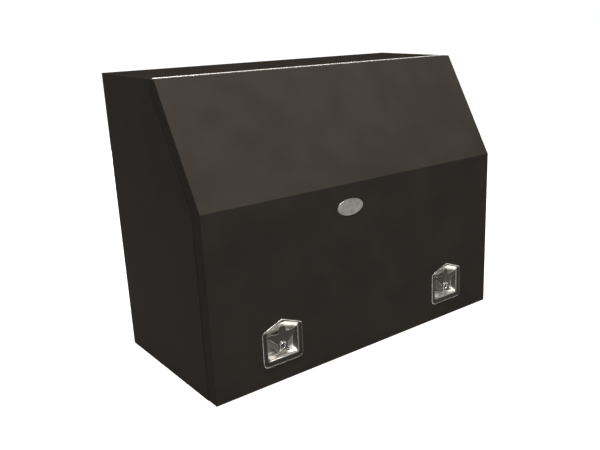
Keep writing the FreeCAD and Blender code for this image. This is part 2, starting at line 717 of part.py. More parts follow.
def latch_handle(hand, centre, pin_y, pin_z):
    """A plate like a whale's tail: two flukes above and two legs that straddle the lock."""
    body = new_body(f"latch_handle_{hand}")
    rear = f"({front} - {proud} + size.handle_recess + size.handle_sheet)"
    tail = "size.handle_tail"
    leg = "size.handle_leg"
    slot = "size.handle_slot"
    edge = f"({barrel_z} + size.handle_reach)"
    tongue = "size.handle_tongue"
    tip = f"({edge} + size.handle_tip)"
    right = [(slot, f"{pin_z} - 5"), (leg, f"{pin_z} - 5"), (leg, f"{barrel_z} + 6"),
             (f"{tail} - 4", f"{edge} - 18"), (tail, f"{edge} - 11"), (f"{tail} - 3", edge),
             (tongue, f"{edge} - 5"), (tongue, f"{tip} - {tongue} * 0.6"), (f"{tongue} * 0.5", tip)]
    outline = [(f"{centre} + {u}", v) for u, v in right]
    outline += [(f"{centre} - {u}", v) for u, v in reversed(right)]
    shoulder = f"({pin_z} + size.handle_pin_drop + size.barrel_radius + 3)"
    outline += [(f"{centre} - {slot}", shoulder), (f"{centre} + {slot}", shoulder)]
    pad(body, "XZ_Plane", f"-({rear})", "size.handle_sheet", [outline])
    for start in (f"{centre} + {slot}", f"{centre} - {leg}"):
        pad(body, "YZ_Plane", start, f"{leg} - {slot}", [], [(pin_y, pin_z, "size.handle_eye_radius")])
    pin_hole = (pin_y, pin_z, "size.handle_pin_radius + size.hole_play")
    pad(body, "YZ_Plane", f"{centre} - {tail}", f"2 * {tail}", [], [pin_hole], cut=True)


def lock(hand, centre):
    head = f"({front} - {proud} + size.barrel_recess)"
    tail = f"({dish_floor} + size.latch_sheet)"
    nut_end = f"({tail} + size.nut_thickness)"
    cam_face = f"({nut_end} + size.cam_spacing)"
    bore = "size.plug_radius + size.hole_play"
    collar = cylinder("barrel_head", "size.barrel_radius", f"{dish_floor} - {head}", "Y",
                      centre, head, barrel_z)
    thread = cylinder("barrel_thread", "size.thread_radius", f"{nut_end} + 1 - {head}", "Y",
                      centre, head, barrel_z)
    hollow = cylinder("barrel_bore", bore, f"{cam_face} - {head} + 2", "Y", centre, f"{head} - 1", barrel_z)
    keep(cut(f"lock_barrel_{hand}", fuse("barrel_solid", [collar, thread]), hollow), f"lock_barrel_{hand}")
    nut = prism("nut_solid", "size.nut_radius", "size.nut_thickness", "Y", centre, tail, barrel_z)
    nut_hole = cylinder("nut_hole", "size.thread_radius + size.hole_play", "size.nut_thickness + 2", "Y",
                        centre, f"{tail} - 1", barrel_z)
    keep(cut(f"barrel_nut_{hand}", nut, nut_hole), f"barrel_nut_{hand}")

    # the plug, its keyway and the cam screwed to its square end
    key_half = "size.keyway_height / 2"
    cam_back = f"({cam_face} + size.cam_sheet)"
    core = cylinder("plug_core", "size.plug_radius", f"{cam_face} - {head} - 1", "Y",
                    centre, f"{head} + 1", barrel_z)
    square = square_bar("plug_square", "size.cam_square", cam_face, cam_back, centre)
    plug = fuse("plug_solid", [core, square])
    keyway = cuboid("keyway", "size.keyway_width", "size.keyway_height", "size.keyway_height",
                    f"{centre} - size.keyway_width / 2", f"{head} - 1", f"{barrel_z} - {key_half}")
    screw_hole = cylinder("plug_thread", "size.screw_radius + size.hole_play", "size.screw_length + 2", "Y",
                          centre, f"{cam_back} - size.screw_length - 1", barrel_z)
    keep(cut(f"lock_plug_{hand}", plug, fuse("plug_space", [keyway, screw_hole])), f"lock_plug_{hand}")
    arm = cuboid("cam_arm", "size.cam_length", "size.cam_sheet", "size.cam_width", centre, cam_face,
                 f"{barrel_z} - size.cam_width / 2")
    hub = cylinder("cam_hub", "size.cam_width / 2", "size.cam_sheet", "Y", centre, cam_face, barrel_z)
    square = square_bar("cam_square", "size.cam_square + 2 * size.hole_play",
                        f"{cam_face} - 1", f"{cam_back} + 1", centre)
    keep(cut(f"latch_cam_{hand}", fuse("cam_solid", [arm, hub]), square), f"latch_cam_{hand}")
    shank = cylinder("screw_shank", "size.screw_radius", "size.screw_length", "Y",
                     centre, f"{cam_back} - size.screw_length", barrel_z)
    head = prism("screw_head", "size.screw_head_radius", "size.screw_head", "Y", centre, cam_back, barrel_z)
    keep(fuse(f"cam_screw_{hand}", [shank, head]), f"cam_screw_{hand}")
    keeper(hand, centre, cam_face)


def square_bar(name, width, near, far, centre):
    """A square bar along Y on the lock's axis, between two depths."""
    return cuboid(name, width, f"({far}) - ({near})", width, f"{centre} - ({width}) / 2", near,
                  f"{barrel_z} - ({width}) / 2")


def keeper(hand, centre, cam_face):
    """An angle on the sill that the cam drops behind."""
    body = new_body(f"latch_keeper_{hand}")
    rear = f"({cam_face} - size.keeper_gap)"
    near = f"({rear} - size.keeper_sheet)"
    low = "size.sill_height"
    foot = f"({rear} + size.keeper_foot)"
    outline = [(near, low), (foot, low), (foot, f"{low} + size.keeper_sheet"),
               (rear, f"{low} + size.keeper_sheet"), (rear, f"{low} + size.keeper_height"),
               (near, f"{low} + size.keeper_height")]
    pad(body, "YZ_Plane", f"{centre} - size.keeper_width / 2", "size.keeper_width", [outline])


floor_panel()
back_panel()
side_panel("side_panel_left", f"-{side}")
side_panel("side_panel_right", inner_side)
top_panel()
door_jamb("door_jamb_left", -1)
door_jamb("door_jamb_right", 1)
door_seal()
lid_panel()
lid_rib("lid_rib_left", -1)
lid_rib("lid_rib_right", 1)
lid_badge()
hinge_leaf("hinge_leaf_lid", -1, 1)
hinge_leaf("hinge_leaf_casing", 1, 0)
hinge_pin()
hinge_rivets("hinge_rivets_lid", -1, "size.lid_sheet")
hinge_rivets("hinge_rivets_casing", 1, sheet)
for hand, sign in (("left", -1), ("right", 1)):
    gas_strut(hand, sign)
    lid_strut_bracket(hand, sign)
    latch_gasket(hand, latch_places[hand])
    latch_dish(hand, latch_places[hand])
    lock(hand, latch_places[hand])
doc.recompute()

failed = [thing.Label for thing in doc.Objects if {"Invalid", "Error"} & set(thing.State)]
for piece in pieces:
    if piece.Shape.isNull() or not piece.Shape.isValid():
        failed.append(piece.Label)
if failed:
    raise RuntimeError(f"not built: {failed}")

os.makedirs("parts", exist_ok=True)
for piece in pieces:
    piece.Shape.exportStep(f"parts/{piece.Label}.step")
    box = piece.Shape.BoundBox
    print(piece.Label, len(piece.Shape.Solids), round(piece.Shape.Volume),
          [round(edge, 1) for edge in (box.XMin, box.YMin, box.ZMin, box.XMax, box.YMax, box.ZMax)])
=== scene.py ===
import json
import math

import bpy
from mathutils import Matrix, Vector


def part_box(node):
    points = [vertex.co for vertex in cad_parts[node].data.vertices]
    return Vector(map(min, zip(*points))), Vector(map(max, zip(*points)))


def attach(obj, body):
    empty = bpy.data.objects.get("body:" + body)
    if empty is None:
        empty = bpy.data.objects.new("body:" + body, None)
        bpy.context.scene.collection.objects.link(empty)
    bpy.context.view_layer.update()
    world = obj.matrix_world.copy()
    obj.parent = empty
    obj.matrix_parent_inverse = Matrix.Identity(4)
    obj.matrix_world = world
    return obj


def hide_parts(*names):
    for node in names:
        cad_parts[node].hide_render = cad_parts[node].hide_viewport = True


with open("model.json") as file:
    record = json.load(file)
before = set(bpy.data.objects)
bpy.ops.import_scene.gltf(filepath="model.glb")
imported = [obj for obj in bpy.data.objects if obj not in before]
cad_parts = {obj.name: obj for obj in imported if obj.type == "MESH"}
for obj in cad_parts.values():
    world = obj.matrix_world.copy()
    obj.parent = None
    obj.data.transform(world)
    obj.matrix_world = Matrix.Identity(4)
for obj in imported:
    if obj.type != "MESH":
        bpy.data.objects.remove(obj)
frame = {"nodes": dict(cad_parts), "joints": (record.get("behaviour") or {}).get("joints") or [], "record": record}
nodes = frame["nodes"]
joints = {row["name"]: row for row in frame["joints"]}
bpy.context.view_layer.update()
print("frame loaded:", len(nodes), "nodes")

mm = 0.001
hands = ("left", "right")


# helpers for modelling

def deselectAll():
    if bpy.context.mode != "OBJECT":
        bpy.ops.object.mode_set(mode="OBJECT")
    bpy.ops.object.select_all(action="DESELECT")


def makeActive(obj):
    deselectAll()
    obj.select_set(True)
    bpy.context.view_layer.objects.active = obj


def applyModifier(obj, kind, **settings):
    makeActive(obj)
    modifier = obj.modifiers.new(kind.title(), kind)
    for key, value in settings.items():
        setattr(modifier, key, value)
    bpy.ops.object.modifier_apply(modifier=modifier.name)


def joinPieces(name, parts):
    makeActive(parts[0])
    for part in parts[1:]:
        part.select_set(True)
    if len(parts) > 1:
        bpy.ops.object.join()
    obj = bpy.context.active_object
    obj.name = name
    obj.data.name = name
    return obj


def finishPiece(obj, smoothAngle=35):
    makeActive(obj)
    bpy.ops.object.transform_apply(location=True, rotation=True, scale=True)
    bpy.ops.object.shade_smooth_by_angle(angle=math.radians(smoothAngle))
    return obj


def loftRings(name, rings, capFirst=False, capLast=False, closed=False):
    # a circle is moved to the first ring, and each next ring is extruded from the last one
    count = len(rings[0])
    deselectAll()
    bpy.ops.mesh.primitive_circle_add(vertices=count, radius=1, fill_type="NOTHING")
    obj = bpy.context.active_object
    obj.name = name
    mesh = obj.data
    for vertex, place in zip(mesh.vertices, rings[0]):
        vertex.co = place
    previous = [Vector(place) for place in rings[0]]
    bpy.ops.object.mode_set(mode="EDIT")
    bpy.ops.mesh.select_all(action="SELECT")
    for ring in rings[1:]:
        bpy.ops.mesh.extrude_edges_move()
        bpy.ops.object.mode_set(mode="OBJECT")
        for vertex in mesh.vertices:
            if vertex.select:
                near = min(range(count), key=lambda i: (previous[i] - vertex.co).length_squared)
                vertex.co = ring[near]
        previous = [Vector(place) for place in ring]
        bpy.ops.object.mode_set(mode="EDIT")
    if capLast:
        bpy.ops.mesh.edge_face_add()
    if capFirst:
        selectVertices(mesh, range(count))
        bpy.ops.mesh.edge_face_add()
    if closed:
        last = len(rings) * count
        selectVertices(mesh, list(range(count)) + list(range(last - count, last)))
        bpy.ops.mesh.bridge_edge_loops()
    bpy.ops.mesh.select_all(action="SELECT")
    bpy.ops.mesh.remove_doubles(threshold=0.00001)
    bpy.ops.mesh.normals_make_consistent(inside=False)
    bpy.ops.object.mode_set(mode="OBJECT")
    return obj


def selectVertices(mesh, indices):
    # edit mode in and out again, with only these vertices selected
    bpy.ops.mesh.select_all(action="DESELECT")
    bpy.ops.object.mode_set(mode="OBJECT")
    for index in indices:
        mesh.vertices[index].select = True
    bpy.ops.object.mode_set(mode="EDIT")
    bpy.ops.mesh.select_mode(type="VERT")


def turnedOutwards(obj, towards):
    # an open shell has its faces turned so that its biggest face looks towards a direction
    mesh = obj.data
    biggest = max(mesh.polygons, key=lambda face: face.area)
    if biggest.normal.dot(Vector(towards)) < 0:
        makeActive(obj)
        bpy.ops.object.mode_set(mode="EDIT")
        bpy.ops.mesh.select_all(action="SELECT")
        bpy.ops.mesh.flip_normals()
        bpy.ops.object.mode_set(mode="OBJECT")


def roundedOutline(corners, steps=5):
    # corners are (u, v, radius) in order, and each one becomes an arc of steps + 1 points
    outline = []
    count = len(corners)
    for index, (u, v, radius) in enumerate(corners):
        spot = Vector((u, v))
        before = (Vector(corners[index - 1][:2]) - spot).normalized()
        after = (Vector(corners[(index + 1) % count][:2]) - spot).normalized()
        half = before.angle(after) / 2
        middle = spot + (before + after).normalized() * radius / math.sin(half)
        start = spot + before * radius / math.tan(half) - middle
        turn = math.pi - 2 * half
        sign = 1 if start.x * (spot - middle).y - start.y * (spot - middle).x > 0 else -1
        for step in range(steps + 1):
            angle = sign * turn * step / steps
            outline.append((middle.x + start.x * math.cos(angle) - start.y * math.sin(angle),
                            middle.y + start.x * math.sin(angle) + start.y * math.cos(angle)))
    return outline


def lathe(name, centre, axis, profile, sides=40, **caps):
    # profile is (radius, distance along the axis) in order
    turnAxis = Vector(axis).normalized()
    across = turnAxis.orthogonal().normalized()
    other = turnAxis.cross(across)
    rings = []
    for radius, along in profile:
        ring = []
        for side in range(sides):
            angle = 2 * math.pi * side / sides
            ring.append(Vector(centre) + turnAxis * along
                        + (across * math.cos(angle) + other * math.sin(angle)) * radius)
        rings.append(ring)
    return loftRings(name, rings, **caps)


# helpers for materials

def newMaterial(name, **values):
    material = bpy.data.materials.new(name)
    material.use_nodes = True
    tree = material.node_tree
    shader = tree.nodes["Principled BSDF"]
    for key, value in values.items():
        shader.inputs[key.replace("_", " ")].default_value = value
    return material, tree, shader


def addNode(tree, kind, **values):
    node = tree.nodes.new(kind)
    for key, value in values.items():
        if key in node.inputs:
            node.inputs[key].default_value = value
        else:
            setattr(node, key, value)
    return node


def objectCoordinates(tree, scale=(1, 1, 1)):
    place = tree.nodes.new("ShaderNodeTexCoord")
    mapping = addNode(tree, "ShaderNodeMapping", Scale=scale)
    tree.links.new(place.outputs["Object"], mapping.inputs["Vector"])
    return mapping.outputs["Vector"]


def addNoise(tree, vector, size, detail=3, roughness=0.5):
    # size is the width of one blotch in metres
    noise = addNode(tree, "ShaderNodeTexNoise", Scale=1 / size, Detail=detail, Roughness=roughness)
    tree.links.new(vector, noise.inputs["Vector"])
    return noise.outputs["Fac"]


def addRamp(tree, factor, low, high, start=0.35, end=0.65):
    ramp = tree.nodes.new("ShaderNodeValToRGB")
    ramp.color_ramp.elements[0].position = start
    ramp.color_ramp.elements[1].position = end
    ramp.color_ramp.elements[0].color = (*low, 1)
    ramp.color_ramp.elements[1].color = (*high, 1)
    tree.links.new(factor, ramp.inputs["Fac"])
    return ramp.outputs["Color"]


def addSpan(tree, factor, start, end, low, high):
    spread = addNode(tree, "ShaderNodeMapRange")
    spread.inputs["From Min"].default_value = start
    spread.inputs["From Max"].default_value = end
    spread.inputs["To Min"].default_value = low
    spread.inputs["To Max"].default_value = high
    tree.links.new(factor, spread.inputs["Value"])
    return spread.outputs["Result"]


def addRange(tree, factor, low, high):
    return addSpan(tree, factor, 0.3, 0.7, low, high)   # noise seldom leaves this middle part


def addMath(tree, operation, first, second, use_clamp=False):
    # each of the two is a socket or a number
    node = addNode(tree, "ShaderNodeMath", operation=operation, use_clamp=use_clamp)
    for index, value in enumerate((first, second)):
        if isinstance(value, (int, float)):
            node.inputs[index].default_value = value
        else:
            tree.links.new(value, node.inputs[index])
    return node.outputs["Value"]


def addBump(tree, shader, heights):
    # heights are (factor, depth in metres), and each bump rides on the one before
    normal = None
    for factor, depth in heights:
        bump = addNode(tree, "ShaderNodeBump", Distance=depth, Strength=1)
        tree.links.new(factor, bump.inputs["Height"])
        if normal:
            tree.links.new(normal, bump.inputs["Normal"])
        normal = bump.outputs["Normal"]
    tree.links.new(normal, shader.inputs["Normal"])


# materials

def makeCoat(name, dark, light, coat, paintedShade=None):
    # the last argument is (axis, share), painted shade: the paint's colour is made that much darker on faces that
    # look along the axis
    material, tree, shader = newMaterial(name)
    shader.inputs["Specular IOR Level"].default_value = coat["gloss"]
    vector = objectCoordinates(tree)
    cloud = addNoise(tree, vector, 0.12, 4)
    fine = addNoise(tree, vector, coat["peel"], 2)
    wave = addNoise(tree, vector, 0.22, 1)
    colour = addRamp(tree, cloud, dark, light)
    # painted shade: the colour is scaled down by how far each face looks along the axis
    if paintedShade:
        axis, share = paintedShade
        place = tree.nodes.new("ShaderNodeTexCoord")
        facing = tree.nodes.new("ShaderNodeSeparateXYZ")
        tree.links.new(place.outputs["Normal"], facing.inputs["Vector"])
        along = addMath(tree, "ABSOLUTE", facing.outputs[axis], 0)
        scale = tree.nodes.new("ShaderNodeVectorMath")
        scale.operation = "SCALE"
        tree.links.new(colour, scale.inputs[0])
        tree.links.new(addSpan(tree, along, 0.6, 0.95, 1, 1 - share), scale.inputs["Scale"])
        colour = scale.outputs["Vector"]
    tree.links.new(colour, shader.inputs["Base Color"])
    tree.links.new(addRange(tree, cloud, coat["roughness"] - 0.04, coat["roughness"] + 0.04),
                   shader.inputs["Roughness"])
    addBump(tree, shader, [(wave, coat["waveDepth"]), (fine, coat["peelDepth"])])
    return material


def makeMetal(name, dark, light, roughness, grain, stretch, blotch=0.02):
    # grain is the width of a brush line, and stretch is how much longer it runs along each axis
    material, tree, shader = newMaterial(name, Metallic=1.0)
    vector = objectCoordinates(tree)
    lines = objectCoordinates(tree, tuple(1 / part for part in stretch))
    streak = addNoise(tree, lines, grain, 2)
    cloud = addNoise(tree, vector, blotch, 4)
    tree.links.new(addRamp(tree, cloud, dark, light), shader.inputs["Base Color"])
    tree.links.new(addRange(tree, streak, roughness - 0.06, roughness + 0.08), shader.inputs["Roughness"])
    addBump(tree, shader, [(streak, 0.000008)])
    return material


def makePaintedReflectionMetal(name, dark, bright, paintedReflection):
    # polished metal with painted reflections in its colour: dark where it looks forward and bright where it looks up,
    # down or a little to the left, like the reflection of a dim room under bright lamps
    material, tree, shader = newMaterial(name, Metallic=1.0)
    place = tree.nodes.new("ShaderNodeTexCoord")
    facing = tree.nodes.new("ShaderNodeSeparateXYZ")
    tree.links.new(place.outputs["Normal"], facing.inputs["Vector"])
    spot = tree.nodes.new("ShaderNodeSeparateXYZ")
    tree.links.new(objectCoordinates(tree), spot.inputs["Vector"])
    depth = addMath(tree, "SUBTRACT", spot.outputs["Y"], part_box("latch_dish_left")[0][1])
    inside = addSpan(tree, depth, paintedReflection["faceDepth"], paintedReflection["deepDepth"], 0, 1)
    low, high = paintedReflection["turn"]
    # painted reflection: faces that look up, down or to the left get the bright colour, and faces that look forward
    # stay dark
    upward = addMath(tree, "MULTIPLY", addSpan(tree, facing.outputs["Z"], low, high, 0, 1),
                     addSpan(tree, inside, 0, 1, paintedReflection["faceUp"], 1))
    sideways = addMath(tree, "MULTIPLY", addMath(tree, "ABSOLUTE", facing.outputs["X"], 0), inside)
    downward = addMath(tree, "MULTIPLY", addSpan(tree, facing.outputs["Z"], -low, -high, 0, paintedReflection["down"]),
                       addSpan(tree, sideways, 0.12, 0.26, 1, paintedReflection["downAside"]))
    leftward = addMath(tree, "MULTIPLY", addSpan(tree, facing.outputs["X"], -0.3, -0.9, 0, paintedReflection["left"]),
                       addSpan(tree, depth, 0.0006, 0.0016, 1, paintedReflection["leftDeep"]))
    most = addMath(tree, "MAXIMUM", addMath(tree, "MAXIMUM", upward, downward), leftward)
    # painted reflection streaks: the bright share is broken up by stretched noise
    cloud = addNoise(tree, objectCoordinates(tree, (0.12, 1, 1)), 0.0035, 2)
    reflectionStreaks = addMath(tree, "MULTIPLY", addMath(tree, "SUBTRACT", cloud, 0.62), paintedReflection["reflectionStreaks"])
    lit = addMath(tree, "MULTIPLY", most, addMath(tree, "ADD", reflectionStreaks, 1))
    # painted reflection: the deeper faces of the dish are made brighter
    total = addMath(tree, "ADD", lit, addMath(tree, "MULTIPLY", inside, paintedReflection["deep"]), True)
    tree.links.new(addRamp(tree, total, dark, bright, 0, 1), shader.inputs["Base Color"])
    scratches = addNoise(tree, objectCoordinates(tree, (0.08, 1, 1)), 0.0007, 3)
    rough = addRange(tree, scratches, paintedReflection["roughness"] - 0.04, paintedReflection["roughness"] + 0.06)
    deeper = addMath(tree, "MULTIPLY", inside, paintedReflection["deepRoughness"])
    tree.links.new(addMath(tree, "ADD", rough, deeper), shader.inputs["Roughness"])
    addBump(tree, shader, [(scratches, 0.00001)])
    return material


def makeRubber(name, dark, light):
    material, tree, shader = newMaterial(name)
    vector = objectCoordinates(tree)
    cloud = addNoise(tree, vector, 0.03, 4)
    skin = addNoise(tree, vector, 0.0012, 3)
    tree.links.new(addRamp(tree, cloud, dark, light), shader.inputs["Base Color"])
    tree.links.new(addRange(tree, cloud, 0.62, 0.8), shader.inputs["Roughness"])
    addBump(tree, shader, [(skin, 0.00008)])
    return material


# peel is the width of the orange peel in metres
coatColours = ((0.0184, 0.0158, 0.0139), (0.0218, 0.0189, 0.0166))
satinPaint = {"gloss": 0.004, "roughness": 0.5, "peel": 0.0016, "peelDepth": 0.00009, "waveDepth": 0.0005}
glossPaint = {"gloss": 0.4, "roughness": 0.2, "peel": 0.0012, "peelDepth": 0.00001, "waveDepth": 0.00002}
# turn is how far a face has to look up before its painted reflection begins and before it is full;
# the others are shares of the bright colour painted in as reflection, and depths are from the latch's front
latchPaintedReflection = {"roughness": 0.14, "deepRoughness": 0.34, "turn": (0.12, 0.6), "faceUp": 0.34, "down": 2,
             "downAside": 0.12, "left": 1.2, "leftDeep": 0.16, "deep": 0.15, "reflectionStreaks": 1.6, "faceDepth": 0.004, "deepDepth": 0.014}
lockPaintedReflection = {"roughness": 0.1, "deepRoughness": 0, "turn": (0.2, 0.5), "faceUp": 1, "down": 0.1, "downAside": 1,
            "left": 1, "leftDeep": 1, "deep": 0, "reflectionStreaks": 0.2, "faceDepth": 0, "deepDepth": 0.03}
looks = {
    "powder_coat": makeCoat("powderCoat", *coatColours, satinPaint),
    # the latch and lock colours carry painted reflections: bright where a face looks up, down or left, dark where it
    # looks forward
    "latch_metal": makePaintedReflectionMetal("latchPolishPaintedReflection", (0.016, 0.015, 0.0138), (0.76, 0.735, 0.672), latchPaintedReflection),
    "strut_black": makeCoat("strutPaint", (0.01, 0.01, 0.01), (0.016, 0.016, 0.016), glossPaint),
    "hinge_steel": makeMetal("hingeSteel", (0.56, 0.54, 0.51), (0.7, 0.67, 0.63), 0.3, 0.0006, (40, 1, 1)),
    "plated_steel": makeMetal("zincPlate", (0.46, 0.46, 0.48), (0.56, 0.555, 0.55), 0.34, 0.0009, (1, 1, 1), 0.004),
    "lock_chrome": makePaintedReflectionMetal("lockChromePaintedReflection", (0.03, 0.029, 0.028), (0.9, 0.88, 0.86), lockPaintedReflection),
    "rod_chrome": makeMetal("rodChrome", (0.66, 0.67, 0.69), (0.76, 0.77, 0.79), 0.1, 0.0004, (8, 8, 1)),
    "badge_metal": makeMetal("badgePlate", (0.13, 0.126, 0.118), (0.19, 0.182, 0.17), 0.32, 0.0005, (30, 1, 1)),
    "seal_rubber": makeRubber("sealRubber", (0.014, 0.014, 0.014), (0.024, 0.024, 0.024)),
    "gasket_rubber": makeRubber("gasketRubber", (0.018, 0.018, 0.018), (0.028, 0.028, 0.028)),
}
slotOfNode = {row["node"]: row["material_slot"] for row in frame["record"]["subparts"]}
# copies of the coat with painted shade: the lid is a fifth darker on faces that look sideways, the top panel 0.56
# darker on faces that look up and has no gloss
paintedShadeLooks = {
    "lid_panel": makeCoat("lidCoatPaintedShade", *coatColours, satinPaint, ("X", 0.2)),
    "top_panel": makeCoat("topCoatPaintedShade", *coatColours, {**satinPaint, "gloss": 0}, ("Z", 0.56)),
}
for name, node in nodes.items():
    node.data.materials.clear()
    node.data.materials.append(paintedShadeLooks.get(name) or looks[slotOfNode[name]])
print("materials made:", len(looks))


def dress(obj, nodeName, body=None):
    # a new piece takes the finish, the body and the place of a CAD node
    obj.data.materials.clear()
    obj.data.materials.append(looks[slotOfNode[nodeName]])
    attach(obj, body or bodyOfNode[nodeName])
    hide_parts(nodeName)


bodyOfNode = {}
for bodyName, members in frame["record"]["behaviour"]["bodies"].items():
    for member in members:
        bodyOfNode[member] = bodyName


# stage: pale floor, soft lamps and the camera at the photo's angle

stageSizes = {
    "floorSize": 60,
    "floorColour": (0.36, 0.355, 0.35),   # what the floor gives back to the box
    # what the camera and polished metal see of the floor besides its shadows: near the box and far from it
    "floorGlow": (0.76, 0.99),
    "glowSpread": (2, 4.5),
    "worldLevel": 0.17,
    "lampColour": (1, 0.94, 0.88),
    "cameraPlace": (-1.4826, -2.0277, 1.1294),
    "cameraTurn": (73.29, 1.344, -39.846),
    "lens": 42.668,
    "sensor": 36,
    "shiftX": -0.0901,
}
lamps = {
    "keyLamp": {"place": (2.3, -1.9, 3.4), "aim": (0, -0.2, 0.6), "size": 1.2, "power": 42},
    "softLamp": {"place": (-0.6, -0.8, 4.3), "aim": (0, -0.2, 0.6), "size": 2.4, "power": 515},
    "fillLamp": {"place": (-4.0, -0.8, 1.6), "aim": (-0.6, 0, 0.5), "size": 1.6, "power": 13},
    "doorLamp": {"place": (-1.3, -4.4, 0.8), "aim": (0, 0, 0.4), "size": 1.8, "power": 44, "colour": (0.8, 0.93, 1)},
    "backLamp": {"place": (1.4, 4.0, 0.32), "aim": (0, 0.3, 0.45), "size": 1.2, "power": 178},   # below the box's top
}


def aimAt(obj, target):
    direction = Vector(target) - obj.location
    obj.rotation_euler = direction.to_track_quat("-Z", "Y").to_euler()


def seenRays(tree):
    # 1 for camera, glossy and transmission rays, 0 for the others
    rays = tree.nodes.new("ShaderNodeLightPath")
    first = addNode(tree, "ShaderNodeMath", operation="MAXIMUM")
    second = addNode(tree, "ShaderNodeMath", operation="MAXIMUM")
    tree.links.new(rays.outputs["Is Camera Ray"], first.inputs[0])
    tree.links.new(rays.outputs["Is Glossy Ray"], first.inputs[1])
    tree.links.new(first.outputs["Value"], second.inputs[0])
    tree.links.new(rays.outputs["Is Transmission Ray"], second.inputs[1])
    return second.outputs["Value"]


def addStage():
    deselectAll()
    bpy.ops.mesh.primitive_plane_add(size=stageSizes["floorSize"], location=(0, 0, 0))
    floor = bpy.context.active_object
    floor.name = "floorPlane"
    material, tree, shader = newMaterial("floorPaint", Roughness=0.9)
    vector = objectCoordinates(tree)
    cloud = addNoise(tree, vector, 0.8, 2)
    base = stageSizes["floorColour"]
    tree.links.new(addRamp(tree, cloud, base, tuple(part * 0.985 for part in base)), shader.inputs["Base Color"])
    shader.inputs["Specular IOR Level"].default_value = 0.1
    glow = addNode(tree, "ShaderNodeEmission", Color=(1, 1, 1, 1))
    distance = addNode(tree, "ShaderNodeVectorMath", operation="LENGTH")
    tree.links.new(vector, distance.inputs[0])
    spread = addSpan(tree, distance.outputs["Value"], *stageSizes["glowSpread"], *stageSizes["floorGlow"])
    tree.links.new(spread, glow.inputs["Strength"])
    both = tree.nodes.new("ShaderNodeAddShader")
    mix = tree.nodes.new("ShaderNodeMixShader")
    tree.links.new(shader.outputs["BSDF"], both.inputs[0])
    tree.links.new(glow.outputs["Emission"], both.inputs[1])
    tree.links.new(seenRays(tree), mix.inputs["Fac"])
    tree.links.new(shader.outputs["BSDF"], mix.inputs[1])
    tree.links.new(both.outputs["Shader"], mix.inputs[2])
    tree.links.new(mix.outputs["Shader"], tree.nodes["Material Output"].inputs["Surface"])
    floor.data.materials.append(material)

    world = bpy.data.worlds.new("studio")
    bpy.context.scene.world = world
    world.use_nodes = True
    tree = world.node_tree
    plain = tree.nodes["Background"]
    plain.inputs["Color"].default_value = (1, 1, 1, 1)
    plain.inputs["Strength"].default_value = stageSizes["worldLevel"]
    seen = addNode(tree, "ShaderNodeBackground", Color=(1, 1, 1, 1), Strength=1)
    mix = tree.nodes.new("ShaderNodeMixShader")
    tree.links.new(seenRays(tree), mix.inputs["Fac"])
    tree.links.new(plain.outputs["Background"], mix.inputs[1])
    tree.links.new(seen.outputs["Background"], mix.inputs[2])
    tree.links.new(mix.outputs["Shader"], tree.nodes["World Output"].inputs["Surface"])

    for name, lamp in lamps.items():
        bpy.ops.object.light_add(type="AREA", location=lamp["place"])
        light = bpy.context.active_object
        light.name = name
        light.data.shape = "DISK"
        light.data.size = lamp["size"]
        light.data.energy = lamp["power"]
        light.data.color = lamp.get("colour") or stageSizes["lampColour"]
        aimAt(light, lamp["aim"])

    bpy.ops.object.camera_add(location=stageSizes["cameraPlace"])
    camera = bpy.context.active_object
    camera.rotation_euler = [math.radians(angle) for angle in stageSizes["cameraTurn"]]
    camera.data.sensor_width = stageSizes["sensor"]
    camera.data.lens = stageSizes["lens"]
    camera.data.shift_x = stageSizes["shiftX"]
    bpy.context.scene.camera = camera
    bpy.context.scene.view_settings.view_transform = "Standard"


addStage()
print("stage set")


# latches: a pressed house-shaped dish with a beaded flange, a deep floor and a shallow scoop at the peak

dish = {
    "peak": 31 * mm,
    "bottomRadius": 18 * mm,
    "topRadius": 12.6 * mm,
    "mouthRadius": 9 * mm,
    "archRadius": 58 * mm,
    "sheet": 1.2 * mm,
    "lug": {"start": 20 * mm, "sheet": 3 * mm, "half": 5 * mm, "edge": 0.4 * mm},
    # each ring is (depth, inset of the sides, foot above the plate's foot, ridge below the plate's peak) in mm
    "flange": ((1.6, 0, 0, 0), (0.9, 0, 0, 0), (0.45, 0.35, 0.3, 0.4), (0.12, 1, 0.9, 1.1), (0, 1.9, 1.8, 2.1),
               (0.1, 2.6, 2.5, 2.8), (0.5, 3.3, 3.2, 3.5), (0.8, 4.4, 4.2, 4.6)),
    "mouth": ((0.8, 11.5, 14.5, 7), (0.9, 13, 16, 7.6), (1.3, 15, 17.6, 8.4), (2.2, 16.8, 19, 9.6),
              (3.6, 18.2, 20.2, 12.4), (5.5, 19.2, 21.4, 16), (9, 20, 23.6, 22.2), (14, 20.8, 26.4, 28.6),
              (19, 21.5, 28.8, 34), (23.5, 22.3, 30.8, 38.4), (26.3, 23.4, 32.4, 41.4), (27.6, 25, 34.2, 43.6),
              (28, 27.5, 37, 46.6)),
}


def houseRing(box, depth, inset, foot, ridge, bottomRadius, topRadius, peakRadius):
    low, high = box
    centre = (low.x + high.x) / 2
    half = (high.x - low.x) / 2
    sharpPeak = low.z + 2 * half   # the plate is as high to its sharp peak as it is wide
    wide = half - inset * mm
    crest = sharpPeak - ridge * mm
    eave = crest - dish["peak"] * wide / half
    base = low.z + foot * mm
    corners = [(centre - wide, base, bottomRadius), (centre + wide, base, bottomRadius),
               (centre + wide, eave, topRadius), (centre, crest, peakRadius), (centre - wide, eave, topRadius)]
    return [(u, low.y + depth * mm, v) for u, v in roundedOutline(corners)]


